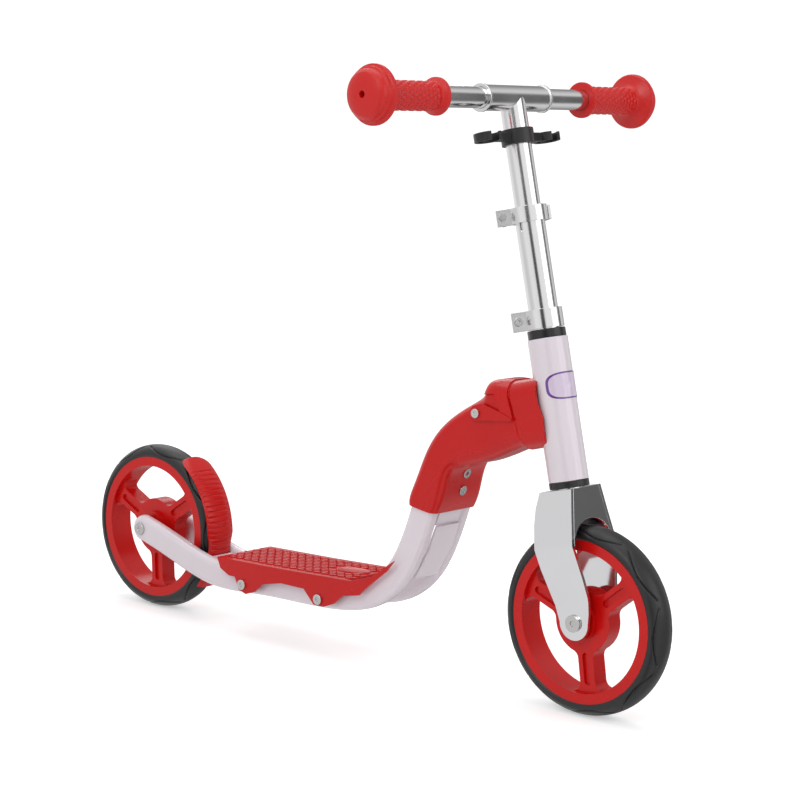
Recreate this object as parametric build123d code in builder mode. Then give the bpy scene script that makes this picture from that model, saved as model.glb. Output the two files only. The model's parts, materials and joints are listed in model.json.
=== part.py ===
"""Child's kick scooter with a turning rear frame. X is forward, Y is the rider's left, Z is up.

The origin is on the ground, midway between the two axles. All dimensions are in millimetres.
"""

import os
from math import cos, radians, sin

from build123d import *

os.makedirs("parts", exist_ok=True)

# ---------------------------------------------------------------- driving dimensions
WHEELBASE = 650.0
WHEEL_R = 100.0
TYRE_HALF_W = 17.0
RIM_R = 86.0
RIM_HALF_W = 15.7
RIM_SEAT_R = 80.0
RIM_SEAT_HALF_W = 11.0
OPENING_R = (34.0, 75.0)
OPENING_CORNER_R = 9.0
SPOKE_W = 19.0
SPOKE_HALF_T = 10.0
HUB_R = 19.0
HUB_HALF_W = 16.0
BEARING_R = 11.0
BEARING_BORE_R = 4.05
BEARING_W = 7.0
AXLE_R = 4.0
RUN_GAP = 0.05
BODY_GAP = 0.4
SHANK_GAP = 0.1

STEER_LEAN = 13.4
FORK_OFFSET = 2.0
TURN_POINT = (240.5, 305.1)

TUBE_Y = 27.0
TUBE_W = 16.0
TUBE_H = 32.0
TUBE_ROUND = 7.0
TUBE_WALL = 2.0

DECK_HALF_W = 44.5
DECK_WALL = 3.0

HEAD_R = 21.0
HEAD_BORE_R = 18.0
HEAD_S = (145.5, 295.0)
STEERER_R = 13.6
LOWER_TUBE_R = 15.5
STEM_R = 13.5
STEM_WALL = 2.0
CLAMP_R = 19.5
CLAMP_ANGLE = 220.0
BAR_S = 547.0
BAR_R = 11.0
SLEEVE_R = 13.5
SLEEVE_HALF = 52.0
GRIP_IN = 120.0
GRIP_OUT = 232.0
BAR_END = GRIP_OUT - 16.0

REAR_X = -WHEELBASE / 2
FRONT_X = WHEELBASE / 2
LEAN_SIN, LEAN_COS = sin(radians(STEER_LEAN)), cos(radians(STEER_LEAN))


# ---------------------------------------------------------------- shared planes and helpers
def steer_plane(s):
    """Plane across the steering axis at height s; its x is forward, its y the rider's left."""
    return Plane(
        origin=(
            FRONT_X + FORK_OFFSET * LEAN_COS - s * LEAN_SIN,
            0,
            WHEEL_R + FORK_OFFSET * LEAN_SIN + s * LEAN_COS,
        ),
        x_dir=(LEAN_COS, 0, LEAN_SIN),
        z_dir=(-LEAN_SIN, 0, LEAN_COS),
    )


def clamp_plane(s):
    """Plane across the steering axis whose x points out through the clamps' ears."""
    turn_cos, turn_sin = cos(radians(CLAMP_ANGLE)), sin(radians(CLAMP_ANGLE))
    return Plane(
        origin=steer_plane(s).origin,
        x_dir=(turn_cos * LEAN_COS, turn_sin, turn_cos * LEAN_SIN),
        z_dir=(-LEAN_SIN, 0, LEAN_COS),
    )


def side_plane(x=0.0, z=0.0, angle=0.0, y=0.0):
    """Plane facing the rider's right, its x turned up from forward by angle."""
    return Plane(
        origin=(x, y, z),
        x_dir=(cos(radians(angle)), 0, sin(radians(angle))),
        z_dir=(0, -1, 0),
    )


def tube_on(plane, outer, inner, length):
    """Straight tube, or a rod when inner is zero, standing on the plane."""
    with BuildPart() as tube:
        with BuildSketch(plane):
            Circle(outer)
            if inner:
                Circle(inner, mode=Mode.SUBTRACT)
        extrude(amount=length)
    return tube.part


def save(part, name):
    """Label one node and write its file."""
    part.label = name
    export_step(part, f"parts/{name}.step")


def solid_parts(*pieces):
    """Group of separate identical solids kept as one node."""
    solids = [s for piece in pieces for s in piece.solids()]
    return Part() + Compound(children=[Part(s.wrapped) for s in solids])


# ---------------------------------------------------------------- wheels
def wheel_nodes(end, x, spoke_angle):
    """Rim, tyre, bearings and spacer sleeve of one wheel."""
    hub_plane = side_plane(x, WHEEL_R, spoke_angle)

    with BuildPart() as rim:
        with BuildSketch(Plane.YZ.offset(x)):
            with BuildLine():
                Polyline(
                    (-RIM_HALF_W, WHEEL_R + 75.0),
                    (-RIM_HALF_W, WHEEL_R + RIM_R),
                    (-RIM_SEAT_HALF_W, WHEEL_R + RIM_R),
                    (-RIM_SEAT_HALF_W, WHEEL_R + RIM_SEAT_R),
                    (RIM_SEAT_HALF_W, WHEEL_R + RIM_SEAT_R),
                    (RIM_SEAT_HALF_W, WHEEL_R + RIM_R),
                    (RIM_HALF_W, WHEEL_R + RIM_R),
                    (RIM_HALF_W, WHEEL_R + 75.0),
                    close=True,
                )
            make_face()
        revolve(axis=Axis((x, 0, WHEEL_R), (0, 1, 0)))
        with BuildSketch(hub_plane):
            Circle(76.0)
        extrude(amount=SPOKE_HALF_T, both=True)
        with BuildSketch(hub_plane):
            Circle(HUB_R)
        extrude(amount=HUB_HALF_W, both=True)
        with BuildSketch(hub_plane) as windows:
            Circle(OPENING_R[1])
            Circle(OPENING_R[0], mode=Mode.SUBTRACT)
            with PolarLocations(0, 3):
                with Locations((50.0, 0)):
                    Rectangle(100.0, SPOKE_W, mode=Mode.SUBTRACT)
            fillet(windows.vertices(), OPENING_CORNER_R)
        extrude(amount=40.0, both=True, mode=Mode.SUBTRACT)
        for side in (-1, 1):
            with BuildSketch(side_plane(x, WHEEL_R, spoke_angle, side * SPOKE_HALF_T)):
                with PolarLocations(0, 3):
                    with Locations((50.0, 0)):
                        SlotOverall(34.0, 8.0)
            extrude(amount=3.0, both=True, mode=Mode.SUBTRACT)
        with BuildSketch(hub_plane):
            Circle(BEARING_R)
        extrude(amount=40.0, both=True, mode=Mode.SUBTRACT)
    save(rim.part, f"{end}_rim")

    with BuildPart() as tyre:
        with BuildSketch(Plane.YZ.offset(x)):
            with BuildLine():
                tread = Spline(
                    (-16.2, WHEEL_R + RIM_R),
                    (-TYRE_HALF_W, WHEEL_R + 90.0),
                    (-12.0, WHEEL_R + 97.5),
                    (0, WHEEL_R + WHEEL_R),
                    (12.0, WHEEL_R + 97.5),
                    (TYRE_HALF_W, WHEEL_R + 90.0),
                    (16.2, WHEEL_R + RIM_R),
                )
                Polyline(
                    tread @ 1,
                    (RIM_SEAT_HALF_W, WHEEL_R + RIM_R),
                    (RIM_SEAT_HALF_W, WHEEL_R + RIM_SEAT_R),
                    (-RIM_SEAT_HALF_W, WHEEL_R + RIM_SEAT_R),
                    (-RIM_SEAT_HALF_W, WHEEL_R + RIM_R),
                    tread @ 0,
                )
            make_face()
        revolve(axis=Axis((x, 0, WHEEL_R), (0, 1, 0)))
    save(tyre.part, f"{end}_tyre")

    seat = HUB_HALF_W - BEARING_W
    save(
        solid_parts(
            tube_on(side_plane(x, WHEEL_R, y=HUB_HALF_W), BEARING_R, BEARING_BORE_R, BEARING_W),
            tube_on(side_plane(x, WHEEL_R, y=-seat), BEARING_R, BEARING_BORE_R, BEARING_W),
        ),
        f"{end}_bearings",
    )
    save(
        tube_on(side_plane(x, WHEEL_R, y=seat), 6.5, BEARING_BORE_R + 0.3, 2 * seat),
        f"{end}_hub_spacer",
    )


def axle_nodes(end, x, face_y, inner_y, head_r):
    """Axle bolt, nut and washers that carry one wheel."""
    with BuildPart() as axle:
        with BuildSketch(side_plane(x, WHEEL_R, y=-face_y)):
            Circle(AXLE_R)
        extrude(amount=-(2 * face_y + 2.0))
        with BuildSketch(side_plane(x, WHEEL_R, y=-face_y)):
            Circle(head_r)
        extrude(amount=3.0)
        with BuildSketch(side_plane(x, WHEEL_R, y=-face_y - 3.0)):
            RegularPolygon(3.0, 6)
        extrude(amount=-2.0, mode=Mode.SUBTRACT)
    save(axle.part, f"{end}_axle")

    with BuildPart() as nut:
        with BuildSketch(side_plane(x, WHEEL_R, y=face_y)):
            Circle(head_r)
            Circle(AXLE_R, mode=Mode.SUBTRACT)
        extrude(amount=-3.0)
    save(nut.part, f"{end}_axle_nut")

    washer_from = HUB_HALF_W + 0.3
    save(
        solid_parts(
            tube_on(side_plane(x, WHEEL_R, y=inner_y), 6.5, AXLE_R, inner_y - washer_from),
            tube_on(side_plane(x, WHEEL_R, y=-washer_from), 6.5, AXLE_R, inner_y - washer_from),
        ),
        f"{end}_washers",
    )


wheel_nodes("rear", REAR_X, -86.0)
wheel_nodes("front", FRONT_X, -81.0)

# ---------------------------------------------------------------- frame tubes
tube_points = [
    (REAR_X, WHEEL_R),
    (-262.0, 81.5),
    (-205.0, 66.5),
    (-125.0, 68.0),
    (-50.0, 70.0),
    (10.0, 74.0),
    (55.0, 87.0),
    (88.0, 114.0),
    (108.0, 150.0),
    (122.3, 190.0),
    (128.6, 213.0),
]
deck_bolt_points = [(-138.0, 64.0), (-16.5, 68.0)]


def swept_tube(width, height, corner, first):
    """Flat-sided bar swept along the left frame line from one of its points."""
    with BuildPart() as tube:
        with BuildLine():
            line = Spline(*[(px, TUBE_Y, pz) for px, pz in tube_points[first:]])
        with BuildSketch(Plane(origin=line @ 0, x_dir=(0, 1, 0), z_dir=line % 0)):
            RectangleRounded(width, height, corner)
        sweep(path=line)
    return tube.part


tube_bar = swept_tube(TUBE_W, TUBE_H, TUBE_ROUND, 0)
tube_hollow = swept_tube(TUBE_W - 2 * TUBE_WALL, TUBE_H - 2 * TUBE_WALL, TUBE_ROUND - TUBE_WALL, 1)
with BuildPart() as frame_tube:
    add(tube_bar)
    with BuildSketch(Plane.YZ.offset(REAR_X)):
        with Locations((TUBE_Y, WHEEL_R)):
            RectangleRounded(TUBE_W, TUBE_H, TUBE_ROUND)
        with Locations((TUBE_Y, WHEEL_R - TUBE_H / 2)):
            Rectangle(TUBE_W + 2.0, TUBE_H, mode=Mode.SUBTRACT)
    revolve(axis=Axis((REAR_X, 0, WHEEL_R), (0, 1, 0)))
    add(tube_hollow, mode=Mode.SUBTRACT)
    with BuildSketch(side_plane(REAR_X, WHEEL_R)):
        Circle(AXLE_R)
    extrude(amount=60.0, both=True, mode=Mode.SUBTRACT)
    with BuildSketch(Plane.XZ.offset(-(TUBE_Y + 4.0))):
        with Locations(*deck_bolt_points):
            Circle(3.0 + SHANK_GAP)
    extrude(amount=-10.0, mode=Mode.SUBTRACT)
save(frame_tube.part, "frame_tube_left")
save(mirror(frame_tube.part, about=Plane.XZ), "frame_tube_right")

axle_nodes("rear", REAR_X, TUBE_Y + TUBE_W / 2, TUBE_Y - TUBE_W / 2, 7.5)

# ---------------------------------------------------------------- deck
TUBE_IN, TUBE_OUT = TUBE_Y - TUBE_W / 2, TUBE_Y + TUBE_W / 2
deck_top = [(-181.0, 90.0), (-75.0, 93.0), (32.0, 97.5), (62.0, 107.0), (94.0, 130.0)]
deck_edge = [
    (84.0, 117.0),
    (69.0, 105.0),
    (51.0, 90.0),
    (44.0, 83.0),
    (19.0, 78.0),
    (7.0, 67.0),
    (-9.0, 60.5),
    (-24.0, 60.5),
    (-40.0, 76.0),
    (-76.0, 76.0),
    (-105.0, 70.0),
    (-119.5, 58.0),
    (-132.5, 53.5),
    (-144.0, 57.0),
    (-151.0, 71.0),
    (-161.0, 71.0),
    (-175.0, 77.5),
]

with BuildPart() as deck:
    with BuildSketch(Plane.XZ):
        Polygon(*deck_top, *deck_edge, align=None)
    extrude(amount=DECK_HALF_W, both=True)
    with BuildSketch(Plane.XZ):
        Polygon(
            (-190.0, 86.0),
            (-75.0, 89.6),
            (24.0, 94.3),
            (24.0, 140.0),
            (120.0, 140.0),
            (120.0, 40.0),
            (-190.0, 40.0),
            align=None,
        )
    extrude(amount=DECK_HALF_W - DECK_WALL, both=True, mode=Mode.SUBTRACT)
    for side in (-1, 1):
        with BuildSketch(Plane.XZ.offset(-side * (TUBE_OUT + 0.3))):
            with Locations(*deck_bolt_points):
                Circle(6.5)
        extrude(amount=-side * (DECK_HALF_W - TUBE_OUT - 0.3))
        with BuildSketch(Plane.XZ.offset(-side * TUBE_OUT)):
            with Locations(*deck_bolt_points):
                Circle(3.0 + SHANK_GAP)
        extrude(amount=-side * 20.0, mode=Mode.SUBTRACT)
save(deck.part, "deck")


def button_bolt(plane, head_r, head_h, shank_r, shank_l):
    """Round-headed socket bolt whose shank runs back from the plane."""
    with BuildPart() as bolt:
        with BuildSketch(plane):
            Circle(head_r)
        extrude(amount=head_h)
        with BuildSketch(plane.offset(head_h)):
            RegularPolygon(head_r * 0.45, 6)
        extrude(amount=-head_h * 0.6, mode=Mode.SUBTRACT)
        with BuildSketch(plane):
            Circle(shank_r)
        extrude(amount=-shank_l)
    return bolt.part


def outward(x, z, y):
    """Plane at y facing away from the middle plane."""
    return Plane(origin=(x, y, z), x_dir=(1, 0, 0), z_dir=(0, 1 if y > 0 else -1, 0))


save(
    solid_parts(
        *[
            button_bolt(outward(bx, bz, side * DECK_HALF_W), 6.0, 3.0, 3.0, 14.0)
            for side in (-1, 1)
            for bx, bz in deck_bolt_points
        ]
    ),
    "deck_bolts",
)

# ---------------------------------------------------------------- rear fender and its crossbar
FENDER_R = (102.6, 106.0)
FENDER_HALF_W = 21.0
FENDER_FROM, FENDER_TO = -36.0, 60.0
CROSS_ANGLE = -17.0
cross_dir = (cos(radians(CROSS_ANGLE)), sin(radians(CROSS_ANGLE)))

with BuildPart() as fender:
    with BuildSketch(side_plane(REAR_X, WHEEL_R, FENDER_FROM)):
        with BuildLine():
            span = FENDER_TO - FENDER_FROM
            CenterArc((0, 0), FENDER_R[0], 0, span)
            CenterArc((0, 0), FENDER_R[1], 0, span)
            Line((FENDER_R[0], 0), (FENDER_R[1], 0))
            Line(
                (FENDER_R[0] * cos(radians(span)), FENDER_R[0] * sin(radians(span))),
                (FENDER_R[1] * cos(radians(span)), FENDER_R[1] * sin(radians(span))),
            )
        make_face()
    extrude(amount=FENDER_HALF_W, both=True)
    for y in (-9.0, 9.0):
        screw_plane = Plane(
            origin=(REAR_X + 100.0 * cross_dir[0], y, WHEEL_R + 100.0 * cross_dir[1]),
            x_dir=(0, 1, 0),
            z_dir=(cross_dir[0], 0, cross_dir[1]),
        )
        with BuildSketch(screw_plane):
            Circle(2.1)
        extrude(amount=20.0, mode=Mode.SUBTRACT)
        with BuildSketch(screw_plane):
            Circle(4.0)
        extrude(amount=4.4, mode=Mode.SUBTRACT)
    with BuildSketch(Plane.XY.offset(92.0)):
        for y in (-FENDER_HALF_W, FENDER_HALF_W):
            with Locations((REAR_X + 80.0, y)):
                Rectangle(160.0, 2 * (FENDER_HALF_W - TUBE_IN + BODY_GAP))
    extrude(amount=-92.0, mode=Mode.SUBTRACT)
save(fender.part, "rear_fender")

cross_plane = Plane(
    origin=(REAR_X + 112.0 * cross_dir[0], 0, WHEEL_R + 112.0 * cross_dir[1]),
    x_dir=(0, 1, 0),
    z_dir=(cross_dir[0], 0, cross_dir[1]),
)
with BuildPart() as crossbar:
    with BuildSketch(cross_plane.offset(-8.0)):
        Rectangle(2 * TUBE_IN, 22.0)
    extrude(amount=14.0)
    with BuildSketch(side_plane(REAR_X, WHEEL_R)):
        Circle(FENDER_R[1])
    extrude(amount=40.0, both=True, mode=Mode.SUBTRACT)
    with BuildSketch(cross_plane.offset(-8.0)):
        with Locations((-9.0, 0), (9.0, 0)):
            Circle(2.1)
    extrude(amount=12.0, mode=Mode.SUBTRACT)
save(crossbar.part, "fender_crossbar")

screw_pieces = []
for y in (-9.0, 9.0):
    head_plane = Plane(
        origin=(REAR_X + 104.4 * cross_dir[0], y, WHEEL_R + 104.4 * cross_dir[1]),
        x_dir=(0, 1, 0),
        z_dir=(-cross_dir[0], 0, -cross_dir[1]),
    )
    screw_pieces.append(button_bolt(head_plane, 3.8, 1.2, 2.0, 9.0))
save(solid_parts(*screw_pieces), "fender_screws")

# ---------------------------------------------------------------- elbow cover, web and swivel housing
# Each row is one section of the cover: its outer point, inner point, width and corner radius.
cover_sections = [
    ((104.0, 194.0), (142.0, 188.0), 76.0, 9.0),
    ((110.0, 218.0), (151.0, 211.0), 76.0, 10.0),
    ((122.0, 248.0), (155.5, 228.0), 76.0, 11.0),
    ((139.0, 277.5), (161.0, 238.5), 74.0, 12.0),
    ((165.0, 302.0), (172.0, 243.5), 68.0, 15.0),
    ((192.0, 321.0), (200.0, 252.0), 61.0, 18.0),
    ((227.7, 340.3), (253.1, 270.3), 58.0, 20.0),
]
turn_vec = (TURN_POINT[0] - REAR_X, TURN_POINT[1] - WHEEL_R)
turn_len = (turn_vec[0] ** 2 + turn_vec[1] ** 2) ** 0.5
TURN_COS, TURN_SIN = turn_vec[0] / turn_len, turn_vec[1] / turn_len


def turn_plane(t):
    """Plane across the turning axis, t forward of the seam."""
    return Plane(
        origin=(TURN_POINT[0] + t * TURN_COS, 0, TURN_POINT[1] + t * TURN_SIN),
        x_dir=(-TURN_SIN, 0, TURN_COS),
        z_dir=(TURN_COS, 0, TURN_SIN),
    )


def section_loft(sections, inset, past_ends=0.0, left_from=None):
    """Smooth body through rounded sections, each drawn in by inset and run on past both ends.

    Given left_from, only the part on the rider's left of that y is made.
    """
    last = len(sections) - 1
    with BuildPart() as body:
        for index, ((ox, oz), (ix, iz), width, corner) in enumerate(sections):
            dx, dz = ox - ix, oz - iz
            tall = (dx * dx + dz * dz) ** 0.5
            shift = {0: -past_ends, last: past_ends}.get(index, 0.0)
            plane = Plane(
                origin=((ox + ix) / 2, 0, (oz + iz) / 2),
                x_dir=(dx / tall, 0, dz / tall),
                z_dir=(dz / tall, 0, -dx / tall),
            )
            with BuildSketch(plane.offset(shift)):
                RectangleRounded(tall - 2 * inset, width - 2 * inset, corner - inset)
                if left_from is not None:
                    with Locations((0, -left_from)):
                        Rectangle(2 * tall, 2 * width, align=(Align.CENTER, Align.MIN), mode=Mode.SUBTRACT)
        loft()
    return body.part


COVER_WALL = 2.6
front_screws = [(151.4, 211.5), (156.4, 231.0)]
screw_dir = (0.97, -0.24)
FRONT_SCREW_LIFT = (-1.5, -1.5)


def front_screw_plane(x, z):
    """Plane facing forward out of the cover's leg."""
    return Plane(origin=(x, 0, z), x_dir=(0, 1, 0), z_dir=(screw_dir[0], 0, screw_dir[1]))


half_body = section_loft(cover_sections, 0, left_from=0.0)
half_hollow = section_loft(cover_sections, COVER_WALL, 1.0, left_from=-1.0)
with BuildPart() as half:
    add(half_body)
    add(half_hollow, mode=Mode.SUBTRACT)
save(half.part, "cover_left")
save(mirror(half.part, about=Plane.XZ), "cover_right")

cover_screw_pieces = [
    button_bolt(front_screw_plane(x, z).offset(lift), 5.5, 3.2, 3.0, 16.0)
    for (x, z), lift in zip(front_screws, FRONT_SCREW_LIFT)
]
save(solid_parts(*cover_screw_pieces), "cover_screws")

HOUSING_R, STUB_R, BORE_BACK = 20.0, 14.0, -56.0
with BuildPart() as housing:
    with BuildSketch(Plane.XZ):
        Polygon(
            (113.0, 178.0),
            (119.0, 210.0),
            (131.0, 240.0),
            (148.0, 264.0),
            (178.2, 303.7),
            (230.9, 322.8),
            (244.5, 285.2),
            (191.8, 266.1),
            (165.0, 252.0),
            (151.0, 234.0),
            (145.0, 213.0),
            (140.0, 196.0),
            (131.0, 172.0),
            align=None,
        )
    extrude(amount=TUBE_IN - 0.1, both=True)
    with BuildSketch(turn_plane(-60.0)):
        Circle(HOUSING_R)
    extrude(amount=57.0)
    with BuildSketch(turn_plane(BORE_BACK)):
        Circle(STUB_R + RUN_GAP)
    extrude(amount=70.0, mode=Mode.SUBTRACT)
    with BuildSketch(turn_plane(BORE_BACK)):
        Circle(4.4)
    extrude(amount=-30.0, mode=Mode.SUBTRACT)
    with BuildSketch(turn_plane(BORE_BACK - 5.0)):
        Circle(9.0)
    extrude(amount=-14.0, mode=Mode.SUBTRACT)
    for x, z in front_screws:
        with BuildSketch(front_screw_plane(x, z)):
            Circle(3.0 + SHANK_GAP)
        extrude(amount=-25.0, mode=Mode.SUBTRACT)
save(housing.part, "swivel_housing")

with BuildPart() as web:
    with BuildSketch(Plane.XZ):
        Polygon(
            (104.0, 108.0),
            (125.0, 145.0),
            (134.0, 171.0),
            (130.5, 171.0),
            (121.5, 146.0),
            (101.0, 110.0),
            align=None,
        )
    extrude(amount=TUBE_IN, both=True)
save(web.part, "frame_web")

# ---------------------------------------------------------------- latch lever
LATCH_PIVOT = (193.9, 303.9)
LATCH_IN_Y, LATCH_OUT_Y = 31.6, 34.2
cover_envelope = section_loft(cover_sections, -0.5)
latch_skin = section_loft(cover_sections, -2.6)
with BuildPart() as latch_cap:
    with BuildSketch(Plane.XZ):
        Polygon(
            (181.5, 322.0),
            (181.5, 350.0),
            (250.0, 350.0),
            (250.0, 302.0),
            (229.0, 302.0),
            (215.0, 328.0),
            align=None,
        )
    extrude(amount=LATCH_OUT_Y, both=True)
    add(latch_skin, mode=Mode.INTERSECT)
with BuildPart() as latch:
    add(latch_cap.part)
    with BuildSketch(Plane.XZ):
        Polygon(
            (189.0, 311.0),
            (190.0, 297.5),
            (197.0, 296.5),
            (245.0, 301.5),
            (229.0, 308.0),
            (201.0, 315.0),
            align=None,
        )
        with Locations(LATCH_PIVOT):
            Circle(8.0)
    extrude(amount=LATCH_OUT_Y, both=True)
    add(cover_envelope, mode=Mode.SUBTRACT)
    with BuildSketch(Plane.XZ):
        Polygon((180.0, 280.0), (229.0, 280.0), (229.0, 318.0), (180.0, 318.0), align=None)
    extrude(amount=LATCH_IN_Y, both=True, mode=Mode.SUBTRACT)
    with BuildSketch(Plane.XZ):
        with Locations(LATCH_PIVOT):
            Circle(3.0 + RUN_GAP)
    extrude(amount=50.0, both=True, mode=Mode.SUBTRACT)
    with BuildSketch(turn_plane(-BODY_GAP)):
        Rectangle(300.0, 300.0)
    extrude(amount=80.0, mode=Mode.SUBTRACT)
save(latch.part, "latch_lever")

latch_screws = [
    button_bolt(outward(*LATCH_PIVOT, side * (LATCH_OUT_Y + 0.3)), 5.0, 2.0, 3.0, 5.0) for side in (-1, 1)
]
save(solid_parts(*latch_screws), "latch_screws")

# ---------------------------------------------------------------- head tube, stub and collar
save(tube_on(steer_plane(HEAD_S[0]), HEAD_R, HEAD_BORE_R, HEAD_S[1] - HEAD_S[0]), "head_tube")

with BuildPart() as stub:
    with BuildSketch(turn_plane(BORE_BACK + BODY_GAP)):
        Circle(STUB_R)
    extrude(amount=37.4 - BORE_BACK - BODY_GAP)
    with BuildSketch(steer_plane(150.0)):
        Circle(HEAD_R)
    extrude(amount=150.0, mode=Mode.SUBTRACT)
    with BuildSketch(turn_plane(BORE_BACK)):
        Circle(4.0)
    extrude(amount=25.0, mode=Mode.SUBTRACT)
save(stub.part, "neck_stub")
save(
    button_bolt(
        Plane(
            origin=(turn_plane(BORE_BACK - 5.4).origin),
            x_dir=(0, 1, 0),
            z_dir=(-TURN_COS, 0, -TURN_SIN),
        ),
        8.0,
        6.0,
        4.0,
        22.0,
    ),
    "swivel_screw",
)

seam = turn_plane(BODY_GAP).origin
collar_sections = [
    (
        (seam.X - 37.4 * TURN_SIN, seam.Z + 37.4 * TURN_COS),
        (seam.X + 37.0 * TURN_SIN, seam.Z - 37.0 * TURN_COS),
        58.0,
        20.0,
    ),
    ((271.0, 350.0), (290.0, 281.0), 50.0, 15.0),
]
collar_body = section_loft(collar_sections, 0)
collar_hollow = section_loft(collar_sections, COVER_WALL, 1.0)
with BuildPart() as collar:
    add(collar_body)
    add(collar_hollow, mode=Mode.SUBTRACT)
    with BuildSketch(turn_plane(BODY_GAP)):
        Circle(STUB_R + 6.0)
    extrude(amount=12.0)
    with BuildSketch(turn_plane(BODY_GAP)):
        Rectangle(2 * (37.0 - 1.0), 8.0)
        Rectangle(8.0, 2 * (29.0 - 1.0))
    extrude(amount=3.0)
    with BuildSketch(turn_plane(0.0)):
        Circle(STUB_R)
    extrude(amount=60.0, mode=Mode.SUBTRACT)
    with BuildSketch(steer_plane(120.0)):
        Circle(HEAD_R)
    extrude(amount=220.0, mode=Mode.SUBTRACT)
    with BuildSketch(Plane.XZ):
        Polygon(
            (246.0, 372.0),
            (251.0, 343.0),
            (268.0, 322.0),
            (275.0, 308.0),
            (278.0, 290.0),
            (279.0, 250.0),
            (330.0, 250.0),
            (330.0, 372.0),
            align=None,
        )
    extrude(amount=60.0, both=True, mode=Mode.SUBTRACT)
save(collar.part, "neck_collar")

save(tube_on(steer_plane(HEAD_S[1]), 20.0, STEERER_R + BODY_GAP, 9.3), "headset_cap_upper")
save(tube_on(steer_plane(138.3), HEAD_R, STEERER_R + BODY_GAP, HEAD_S[0] - 138.3), "headset_ring_lower")
save(
    solid_parts(
        tube_on(steer_plane(HEAD_S[0] + 1.0), HEAD_BORE_R, STEERER_R + RUN_GAP, 10.0),
        tube_on(steer_plane(HEAD_S[1] - 11.0), HEAD_BORE_R, STEERER_R + RUN_GAP, 10.0),
    ),
    "headset_bearings",
)
with BuildPart() as badge:
    with BuildSketch(steer_plane(226.0)):
        Circle(HEAD_R + 0.7)
        Circle(HEAD_R, mode=Mode.SUBTRACT)
        Polygon(
            (0, 0),
            (10.0, -57.0),
            (-80.0, -57.0),
            (-80.0, 57.0),
            (10.0, 57.0),
            align=None,
            mode=Mode.SUBTRACT,
        )
    extrude(amount=30.0)
save(badge.part, "head_badge")

# ---------------------------------------------------------------- fork
CROWN_S, CROWN_T = 137.6, 3.6
BLADE_T = 4.0
blade_bends = [(25.5, CROWN_S), (38.0, 80.0), (25.0, 20.0), (25.0, -20.0)]
blade_sides = [
    (-18.5, CROWN_S),
    (-24.0, 122.0),
    (-26.4, 105.0),
    (-26.5, 85.0),
    (-25.5, 60.0),
    (-22.0, 33.0),
    (-17.8, 4.0),
]
blade_front = [
    (18.0, -2.0),
    (20.8, 8.0),
    (23.5, 25.0),
    (24.0, 45.0),
    (23.3, 65.0),
    (22.8, 85.0),
    (22.6, 110.0),
    (22.8, CROWN_S),
]


def fork_side():
    """Side plane of the fork with its origin on the front axle."""
    return side_plane(FRONT_X, WHEEL_R, STEER_LEAN)


def fork_face(t):
    """Plane across the fork at t ahead of the axle; its x is the rider's left, its y up the fork."""
    return Plane(
        origin=(FRONT_X + t * LEAN_COS, 0, WHEEL_R + t * LEAN_SIN),
        x_dir=(0, 1, 0),
        z_dir=(LEAN_COS, 0, LEAN_SIN),
    )


inner_bends = [(y - BLADE_T, s) for y, s in blade_bends]
for side_name, side in (("left", 1), ("right", -1)):
    with BuildPart() as blade:
        with BuildSketch(fork_face(-40.0)):
            Polygon(*[(side * y, s) for y, s in blade_bends + inner_bends[::-1]], align=None)
        extrude(amount=80.0)
        with BuildSketch(fork_side()):
            Polygon(*blade_sides, *blade_front, align=None)
            Circle(17.9)
        extrude(amount=60.0, both=True, mode=Mode.INTERSECT)
        with BuildSketch(side_plane(FRONT_X, WHEEL_R)):
            Circle(AXLE_R)
        extrude(amount=60.0, both=True, mode=Mode.SUBTRACT)
    save(blade.part, f"fork_blade_{side_name}")

with BuildPart() as crown:
    with BuildSketch(fork_face(-18.5)):
        with Locations((0, CROWN_S - CROWN_T / 2)):
            Rectangle(2 * (blade_bends[0][0] - BLADE_T), CROWN_T)
    extrude(amount=18.5 + 22.8)
    for start in (19.8, -21.5):
        with BuildSketch(fork_face(start)):
            Polygon(
                (-inner_bends[0][0], CROWN_S),
                (-inner_bends[1][0], inner_bends[1][1]),
                (inner_bends[1][0], inner_bends[1][1]),
                (inner_bends[0][0], CROWN_S),
                align=None,
            )
            with Locations((0, 80.0)):
                Ellipse(31.0, 25.0, mode=Mode.SUBTRACT)
        extrude(amount=3.0)
    with BuildSketch(fork_side()):
        Polygon(
            (-18.5, CROWN_S + 1.0),
            (-18.5, CROWN_S),
            (-24.0, 122.0),
            (-60.0, 122.0),
            (-60.0, CROWN_S + 1.0),
            align=None,
        )
    extrude(amount=60.0, both=True, mode=Mode.SUBTRACT)
save(crown.part, "fork_crown")
save(tube_on(steer_plane(CROWN_S), STEERER_R, STEERER_R - 2.0, 322.0 - CROWN_S), "steerer_tube")
axle_nodes("front", FRONT_X, 25.0, 21.0, 9.0)

# ---------------------------------------------------------------- clamps, lower tube and quick-release
lower_tube = tube_on(steer_plane(304.8), LOWER_TUBE_R, STEERER_R, 433.0 - 304.8)
with BuildPart() as outer_tube:
    add(lower_tube)
    with BuildSketch(fork_side()):
        with Locations((FORK_OFFSET, 421.0)):
            SlotOverall(28.0, 4.0, rotation=90)
    extrude(amount=60.0, mode=Mode.SUBTRACT)
save(outer_tube.part, "lower_tube")

EAR_AT, EAR_GAP, EAR_T = 27.0, 1.5, 4.0


def ear_plane(s, y):
    """Plane across the clamp's ears, facing the bolt head's side."""
    base = clamp_plane(s)
    centre = base.from_local_coords(Vector(EAR_AT, y, 0))
    return Plane(origin=centre, x_dir=base.x_dir, z_dir=base.y_dir)


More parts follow.
